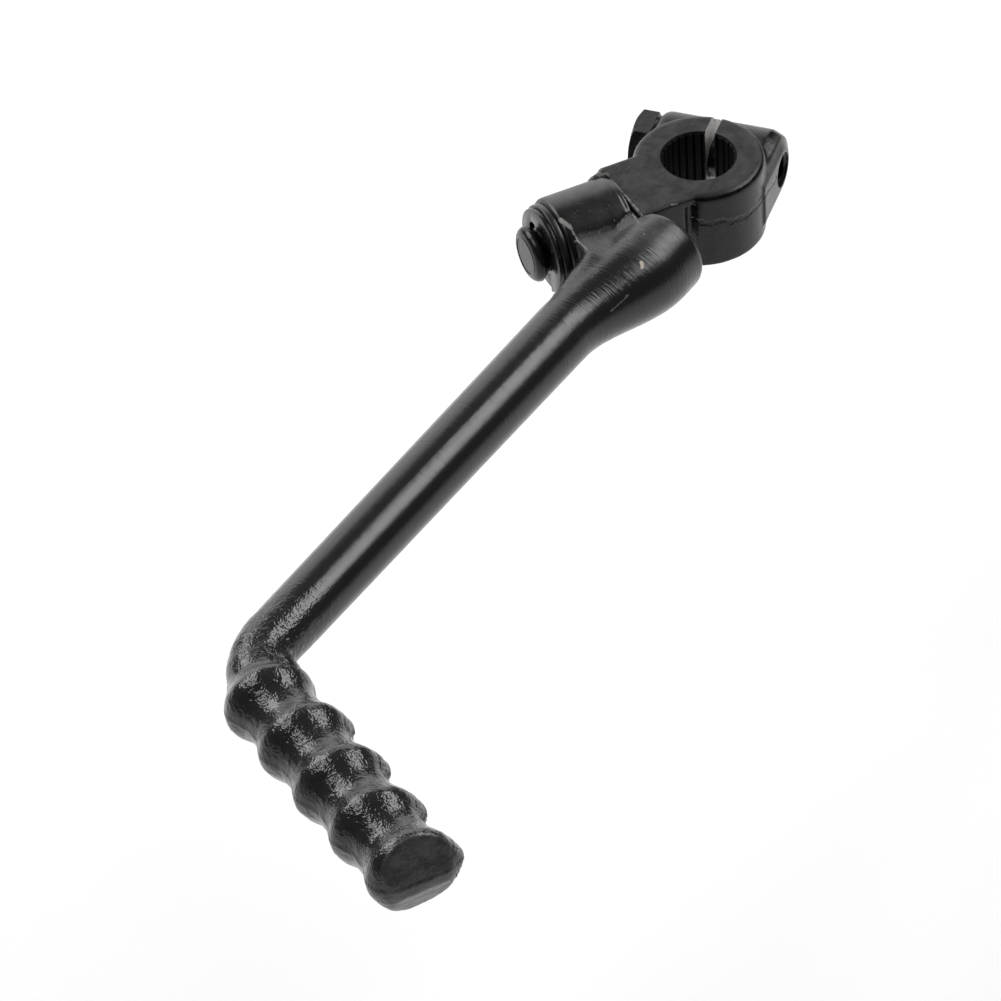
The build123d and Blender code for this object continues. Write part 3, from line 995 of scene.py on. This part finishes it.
def grey(value, warmth=0.0):
    """Grey as a linear colour, shifted to red and away from blue by its warmth."""
    return (value * (1 + warmth), value, value * (1 - warmth), 1)


def parts_of(tree, place):
    """X, Y and Z of the coordinates in millimetres."""
    made = node(tree, "ShaderNodeSeparateXYZ")
    tree.links.new(vector(tree, "SCALE", place, 1 / MM), made.inputs[0])
    return made.outputs


# Lines of wear and of painted light through points of the skin, and places of specks
SEAM_SLEEVE = ((20.0, -4.6, 8.6), (20.0, 0.0, 10.6), (20.0, 4.0, 10.6), (20.0, 8.0, 8.8), (20.3, 11.9, 8.9),
               (21.6, 17.6, 9.7))
SLEEVE_CHIP = ((34.5, 5.4, 10.1), (33.4, 7.6, 9.1))
SLEEVE_EDGE = ((33.4, 7.6, 9.1), (33.0, 9.4, 7.6), (33.3, 11.5, 7.8), (33.3, 14.0, 8.0))
TONGUE_CHIP = ((25.3, 23.7, 8.5), (25.5, 24.5, 7.9))
ARM_SCRATCH = ((35.6, 29.7, 4.1), (33.1, 28.8, 4.5), (30.6, 27.9, 5.2))
SEAM_NECK = ((19.3, -2.0, 9.25), (19.0, 5.0, 9.25), (18.8, 11.65, 9.25))
LIP_HIGHLIGHT_LINE = ((22.0, -8.0, 6.0), (22.0, -6.4, 7.7), (21.2, -5.2, 8.9), (19.6, -3.9, 9.25))
NECK_CORNER_LINE = ((12.0, 11.3, 9.25), (10.6, 11.6, 9.1))
PIN_CHIPS = ((38.2, 7.7, 2.0), (38.4, 7.1, 3.6), (38.5, 5.6, 5.2))
CLIP_RUST = (37.75, 6.8, 5.2)
LUG_WEAR = ((-20.6, -1.7, 4.8), (-18.7, 0.4, 5.5), (-16.4, 2.7, 5.6), (-13.6, 5.9, 5.3))
LUG_FLASH = ((-8.5, 10.85, 1.5), (-9.9, 9.9, 1.6), (-11.5, 8.7, 1.6), (-14.0, 6.2, 0.8), (-15.2, 5.0, 0.4))
WEB_DUST_AND_SHEEN_LINE = ((31.5, 12.0, 7.8), (21.0, 14.0, 9.0))
SLEEVE_SPECKS = (27.0, 9.5, 7.6)
WEB_SPECKS = (28.0, 10.5, 7.6)

# Tones of the paint and of its wear, and of painted light and shade; two tones are mixed in patches
ARM_BLACK = grey(0.019)
PEDAL_BLACK = grey(0.026)
TIP_SHEEN_BLACKS = grey(0.052), grey(0.092)
SLEEVE_BLACKS = grey(0.005), grey(0.011)
DUST_AND_SHEEN_GREYS = grey(0.024), grey(0.055)
SATIN_BLACKS = grey(0.012), grey(0.038)
BOSS_BLACKS = grey(0.005), grey(0.014)
FLASH_PAINTED_SHADE = grey(0.001)
BORE_SHADE_BLACK = grey(0.003)
LUG_GREY = grey(0.06, 0.05)
LIP_HIGHLIGHT_GREY = grey(0.1, 0.06)
SEAM_GREY = grey(0.13, 0.03)
NECK_GREY = grey(0.16, 0.03)
SPECK_GREY = grey(0.2, 0.05)
CHIP_GREY = grey(0.24, 0.04)
CHIP_CREAM = grey(0.42, 0.12)
BARE_STEEL = grey(0.42, 0.03)
PIN_RUST = (0.12, 0.085, 0.05, 1)
CLIP_SPECK = (0.3, 0.23, 0.15, 1)
STREAK_TURN = radians(35.0)


def lever_finish():
    """Glossy black paint: cross grain on the arm, rough casting skin on the pedal, scuffed sleeve, chips; dust
    and a painted sheen on the tops of the tongue, web and sleeve, and a painted sheen on the tip's face.
    """
    material, tree, shader, place = new_finish("black_paint_lever")
    y, z = parts_of(tree, place)[1:]
    along = vector(tree, "DOT_PRODUCT", place, arm_forward / MM)
    pedal = span(tree, along, 134, 156)
    sleeve = span(tree, y, 15, 10)
    arm = product(tree, inverse(tree, pedal), inverse(tree, sleeve))
    tip = None
    for point, normal in TIP_FACES:
        depth = vector(tree, "DOT_PRODUCT", vector(tree, "SUBTRACT", place, point * MM), normal / MM)
        face = span(tree, depth, -0.9, -0.3)
        tip = face if tip is None else calc(tree, "MAXIMUM", tip, face)
    skin = product(tree, pedal, calc(tree, "MULTIPLY_ADD", tip, -0.3, 1.0))

    grain = noise(tree, drawn_out(tree, place, ARM_ANGLE, (1, 20, 20)), 0.27, 2.0)
    comb = calc(tree, "MULTIPLY_ADD", span(tree, along, 75, 45), 0.035, 0.045)
    peel = noise(tree, place, 0.8, 1.0, 0.3)
    pimples = noise(tree, place, 0.36, 0.0)
    scuff = noise(tree, place, 2.6, 5.0)
    bump(tree, shader, add_up(
        tree,
        product(tree, grain, arm, comb),
        product(tree, peel, skin, 0.125),
        product(tree, pimples, skin, 0.06),
        product(tree, scuff, 0.02)))

    worn = calc(tree, "MAXIMUM",
                chipped(tree, place, (SLEEVE_CHIP,), 0.62, 1.0),
                chipped(tree, place, (SLEEVE_EDGE,), 0.22, 1.1))
    cream = chipped(tree, place, (TONGUE_CHIP,), 0.5, 1.0)
    # Rubbed wear along the sleeve's seam edge, and a scratch on the arm.
    light_strokes = chipped(tree, place, (SEAM_SLEEVE, ARM_SCRATCH), 0.2, 1.0)
    dots = calc(tree, "MAXIMUM",
                specks(tree, place, SLEEVE_SPECKS, 10, 0.8),
                specks(tree, place, WEB_SPECKS, 9, 0.5))
    # Lighter grey on the tops of the tongue and web, along the web's front slope and on the sleeve's upper
    # side: partly dust, partly a painted sheen.
    dust_and_sheen = product(tree, span(tree, z, 6.5, 9.6), span(tree, along, 39, 24), span(tree, y, 9, 13))
    dust_and_sheen = calc(tree, "MAXIMUM", dust_and_sheen, span(tree, line_gap(tree, place, WEB_DUST_AND_SHEEN_LINE), 4.0, 1.0))
    dust_and_sheen = calc(tree, "MAXIMUM", dust_and_sheen, product(tree, sleeve, span(tree, y, 5.5, 0.0)))
    scuffed = blend_color(tree, span(tree, scuff, 0.35, 0.75), *SLEEVE_BLACKS)
    dusty_and_sheen = blend_color(tree, span(tree, scuff, 0.3, 0.7), *DUST_AND_SHEEN_GREYS)
    # The tip's face is painted lighter than the rest of the pedal, mottled in patches: a painted sheen.
    mottled_tip_sheen = blend_color(tree, span(tree, scuff, 0.35, 0.65), *TIP_SHEEN_BLACKS)
    tint = ARM_BLACK
    for amount, tone in (
            (sleeve, scuffed), (dust_and_sheen, dusty_and_sheen), (pedal, blend_color(tree, tip, PEDAL_BLACK, mottled_tip_sheen)),
            (dots, SPECK_GREY), (light_strokes, SEAM_GREY), (worn, CHIP_GREY), (cream, CHIP_CREAM)):
        tint = blend_color(tree, amount, tint, tone)
    feed(tree, shader.inputs["Base Color"], tint)
    gloss = add_up(
        tree, 0.12,
        product(tree, scuff, blend_value(tree, skin, 0.14, 0.02)),
        product(tree, sleeve, 0.1),
        product(tree, dust_and_sheen, 0.12),
        product(tree, tip, 0.14))
    feed(tree, shader.inputs["Roughness"], blend_value(tree, worn, gloss, 0.45))
    return material


def knuckle_finish():
    """Black paint: satin and streaked on the machined faces, glossy on the boss; bare metal in the slit; a
    painted shade line along the flash lines, and a painted highlight on the lip's bevel.
    """
    material, tree, shader, place = new_finish("black_paint_knuckle")
    top = span(tree, parts_of(tree, place)[2], 8.7, 9.15)
    streaks = noise(tree, drawn_out(tree, place, STREAK_TURN, (7, 1, 1)), 0.8, 5.0, 1.2)
    grit = noise(tree, drawn_out(tree, place, STREAK_TURN, (2.5, 1, 1)), 0.4)
    scuff = noise(tree, place, 2.4, 5.0)
    peel = noise(tree, place, 1.1, 3.0)
    # Along the flash lines of boss and lug: a shallow groove in the relief, and a painted shade line in the
    # colour.
    flash = [(cos(radians(angle)) * BOSS_RADIUS, sin(radians(angle)) * BOSS_RADIUS, height)
             for angle, height in FLASH_LINE]
    gap = calc(tree, "MINIMUM", line_gap(tree, place, flash), line_gap(tree, place, LUG_FLASH))
    flash_groove_and_shade = span(tree, spread(tree, peel, 1.8, gap), 0.85, 0.35)
    relief = add_up(
        tree,
        product(tree, streaks, top, 0.018),
        product(tree, grit, 0.03),
        product(tree, peel, 0.03),
        product(tree, scuff, 0.05))
    bump(tree, shader, calc(tree, "SUBTRACT", relief, product(tree, flash_groove_and_shade, 0.4)))

    half = SLIT_WIDTH / 2
    across = calc(tree, "ABSOLUTE", vector(tree, "DOT_PRODUCT", place, bolt_axis / MM))
    outward = vector(tree, "DOT_PRODUCT", place, slit / MM)
    bare = product(tree, span(tree, across, half + 0.07, half + 0.02), span(tree, outward, 7.4, 7.9))
    worn = span(tree, spread(tree, scuff, 4.0, line_gap(tree, place, LUG_WEAR)), 2.2, 0.2)
    rust = chipped(tree, place, (PIN_CHIPS,), 0.5, 1.6)
    # Lighter grey strokes along the neck's end edge and at its top corner.
    light_strokes = chipped(tree, place, (SEAM_NECK, NECK_CORNER_LINE), 0.18, 1.0)
    # Lighter warm grey along the bevel of the lip: a painted highlight.
    lip = chipped(tree, place, (LIP_HIGHLIGHT_LINE,), 0.9, 1.2)
    blotches = calc(tree, "MULTIPLY_ADD", noise(tree, place, 3.5, 4.0, 0.8), 0.7, product(tree, streaks, 0.3))
    satin = blend_color(tree, span(tree, blotches, 0.35, 0.68), *SATIN_BLACKS)
    tint = blend_color(tree, span(tree, scuff, 0.35, 0.7), *BOSS_BLACKS)
    for amount, tone in (
            (top, satin), (worn, LUG_GREY), (flash_groove_and_shade, FLASH_PAINTED_SHADE), (rust, PIN_RUST), (light_strokes, NECK_GREY),
            (lip, LIP_HIGHLIGHT_GREY), (bare, BARE_STEEL)):
        tint = blend_color(tree, amount, tint, tone)
    feed(tree, shader.inputs["Base Color"], tint)
    gloss = add_up(tree, 0.16, product(tree, scuff, 0.16), product(tree, top, 0.14))
    feed(tree, shader.inputs["Roughness"], blend_value(tree, bare, gloss, 0.42))
    shader.inputs["Specular IOR Level"].default_value = 0.33
    return material


def small_finish(name, shade, roughness):
    """Black finish of the small bought parts, slightly worn, with specks of rust where the pivot rubs."""
    material, tree, shader, place = new_finish(name)
    scuff = noise(tree, place, 1.6, 5.0)
    tint = blend_color(tree, span(tree, scuff, 0.3, 0.8), grey(shade), grey(shade * 2.2))
    rust = specks(tree, place, CLIP_RUST, 4.5, 0.55)
    feed(tree, shader.inputs["Base Color"], blend_color(tree, rust, tint, CLIP_SPECK))
    feed(tree, shader.inputs["Roughness"], calc(tree, "MULTIPLY_ADD", scuff, 0.2, roughness))
    bump(tree, shader, product(tree, scuff, 0.03))
    return material


def plain(name, color, roughness, metallic=0.0):
    """Finish of one colour."""
    material = bpy.data.materials.new(name)
    material.use_nodes = True
    shader = material.node_tree.nodes["Principled BSDF"]
    shader.inputs["Base Color"].default_value = color
    shader.inputs["Roughness"].default_value = roughness
    shader.inputs["Metallic"].default_value = metallic
    return material


def bore_shade_finish():
    """Dull, weakly reflecting black of the splined bore: painted shade inside the hole."""
    material = plain("bore_painted_shade", BORE_SHADE_BLACK, 0.6)
    material.node_tree.nodes["Principled BSDF"].inputs["Specular IOR Level"].default_value = 0.12
    return material


def dress_bore(piece):
    """Give the walls of the bore their own finish, darker and duller: painted shade."""
    piece.data.materials.append(bore_shade_finish())
    wall = SPLINE_ROOT + 0.03
    pick(piece, "FACE", lambda co, n: Vector((co.x, co.y)).length < wall and abs(n.z) < 0.9)
    piece.active_material_index = 1
    bpy.ops.object.material_slot_assign()
    bpy.ops.object.mode_set(mode="OBJECT")


def dress(piece, material):
    piece.data.materials.clear()
    piece.data.materials.append(material)


# Light and view, as the photograph has them

TARGET = Vector((77.424, 65.032, 0.0)) * MM
VIEW_AZIMUTH = radians(67.066)
VIEW_ELEVATION = radians(43.203)
VIEW_ROLL = radians(-4.028)
VIEW_DISTANCE = 1.0
LENS = 183.84
SENSOR = 36.0

# Floor: size in metres, gap under the opened pedal in millimetres, and glow
FLOOR_SIZE = 6.0
FLOOR_GAP = 1.0
FLOOR_GLOW = 0.24

# Even sky, a little brighter on the side away from the view
SKY = 0.3
SKY_GAIN = 0.18
SKY_SIDE = radians(-35.0)

# Soft boxes: azimuth and elevation in degrees, distance, width and height in metres, and radiance
SOFT_BOXES = (
    ("right_box", 180, 46, 1.0, 0.75, 0.42, 6.0),
    ("back_left_box", -58, 39, 1.0, 0.6, 0.6, 5.5),
    ("left_box", -4, 58, 1.0, 0.36, 0.36, 5.5),
    ("back_card", -104, 17, 1.3, 1.5, 0.95, 1.4))


def direction(azimuth, elevation):
    """Unit vector from the lever towards an azimuth and an elevation."""
    return Vector((cos(azimuth) * cos(elevation), sin(azimuth) * cos(elevation), sin(elevation)))


def place_camera():
    clear_selection()
    back = direction(VIEW_AZIMUTH, VIEW_ELEVATION)
    level = Z_AXIS.cross(back).normalized()
    upright = back.cross(level)
    right = level * cos(VIEW_ROLL) + upright * sin(VIEW_ROLL)
    up = upright * cos(VIEW_ROLL) - level * sin(VIEW_ROLL)
    turn = Matrix((right, up, back)).transposed()
    bpy.ops.object.camera_add(location=TARGET + back * VIEW_DISTANCE, rotation=turn.to_euler())
    camera = bpy.context.object
    camera.data.lens = LENS
    camera.data.sensor_width = SENSOR
    camera.data.clip_start = 0.01
    camera.data.clip_end = 20.0
    bpy.context.scene.camera = camera


def soft_box(name, azimuth, elevation, distance, width, height, radiance):
    """Area light that faces the lever; radiance is how bright its panel looks."""
    clear_selection()
    away = direction(radians(azimuth), radians(elevation))
    bpy.ops.object.light_add(
        type="AREA", location=TARGET + away * distance, rotation=away.to_track_quat("Z", "Y").to_euler())
    light = bpy.context.object
    light.name = name
    light.data.shape = "RECTANGLE"
    light.data.size = width
    light.data.size_y = height
    light.data.energy = radiance * pi * width * height


def lay_floor():
    """Pale floor, low enough that the pedal of the opened lever just clears it."""
    clear_selection()
    swing = cad_box[1].y - PIVOT_Y * MM
    low = PIVOT_Z * MM - swing - FLOOR_GAP * MM
    bpy.ops.mesh.primitive_plane_add(size=FLOOR_SIZE, location=(TARGET.x, TARGET.y, low))
    floor = settle("floor")
    table = plain("lit_table", grey(0.8), 0.6)
    shader = table.node_tree.nodes["Principled BSDF"]
    shader.inputs["Emission Color"].default_value = grey(1.0)
    shader.inputs["Emission Strength"].default_value = FLOOR_GLOW
    dress(floor, table)


def light_studio():
    world = bpy.data.worlds.new("studio")
    bpy.context.scene.world = world
    world.use_nodes = True
    tree = world.node_tree
    sky = tree.nodes["Background"]
    facing = node(tree, "ShaderNodeTexCoord").outputs["Generated"]
    away = -direction(VIEW_AZIMUTH, SKY_SIDE)
    strength = span(tree, vector(tree, "DOT_PRODUCT", facing, away), -0.1, 0.75)
    feed(tree, sky.inputs["Strength"], calc(tree, "MULTIPLY_ADD", strength, SKY_GAIN, SKY))
    for box in SOFT_BOXES:
        soft_box(*box)
    bpy.context.scene.view_settings.view_transform = "Standard"


knuckle = model_knuckle()
lever = model_lever()
bolt = model_bolt()
washer = softened_copy("thrust_washer", "thrust_washer_black", 0.2, 2)
clip = softened_copy("retaining_clip", "retaining_clip_black", 0.12, 2)

dress(knuckle, knuckle_finish())
dress_bore(knuckle)
dress(lever, lever_finish())
dress(bolt, small_finish("black_bolt", 0.008, 0.16))
dress(washer, small_finish("black_washer", 0.01, 0.2))
dress(clip, small_finish("black_clip", 0.01, 0.14))
steel = plain("bright_steel", grey(0.6), 0.25, 1.0)
for hidden in ("detent_ball", "detent_spring"):
    dress(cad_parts[hidden], steel)

for piece, body, nodes, slot in (
        (knuckle, "clamp", "knuckle", "black_paint"),
        (lever, "lever", "lever_arm", "black_paint"),
        (bolt, "clamp", "pinch_bolt", "black_bolt"),
        (washer, "clamp", "thrust_washer", "black_washer"),
        (clip, "clamp", "retaining_clip", "black_clip")):
    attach(piece, body)
    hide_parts(nodes)

lay_floor()
place_camera()
light_studio()
